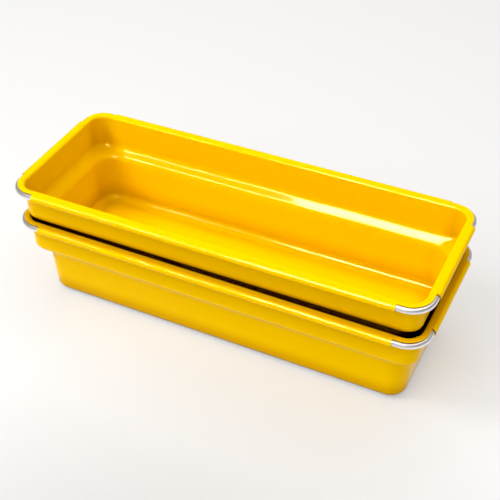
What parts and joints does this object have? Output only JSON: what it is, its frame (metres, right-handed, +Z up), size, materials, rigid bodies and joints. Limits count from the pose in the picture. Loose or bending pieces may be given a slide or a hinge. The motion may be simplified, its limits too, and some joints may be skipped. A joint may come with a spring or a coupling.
{
  "type": "developing tray",
  "caption": "Long, narrow enamelled sheet-steel trays with a sloped step and a wire-stiffened rolled rim, one nested in the other.",
  "frame": {"origin": "centre of the lower tray's base, on the surface that it stands on", "axes": "+X along the length, +Y across the width, +Z up out of the trays"},
  "size_m": [0.401, 0.1558, 0.1266],
  "materials": {
    "yellow_enamel": "high gloss enamel coating on sheet steel",
    "bright_wire": "bare satin steel wire"
  },
  "bodies": {
    "lower_tray": {"lower_tray_pan": "yellow_enamel", "lower_tray_rim_wire": "bright_wire"},
    "upper_tray": {"upper_tray_pan": "yellow_enamel", "upper_tray_rim_wire": "bright_wire"}
  },
  "joints": [
    {"name": "upper_tray_lift", "type": "slide", "parent": "lower_tray", "child": "upper_tray", "axis": [0, 0, 1], "range_m": [0, 0.065]}
  ]
}
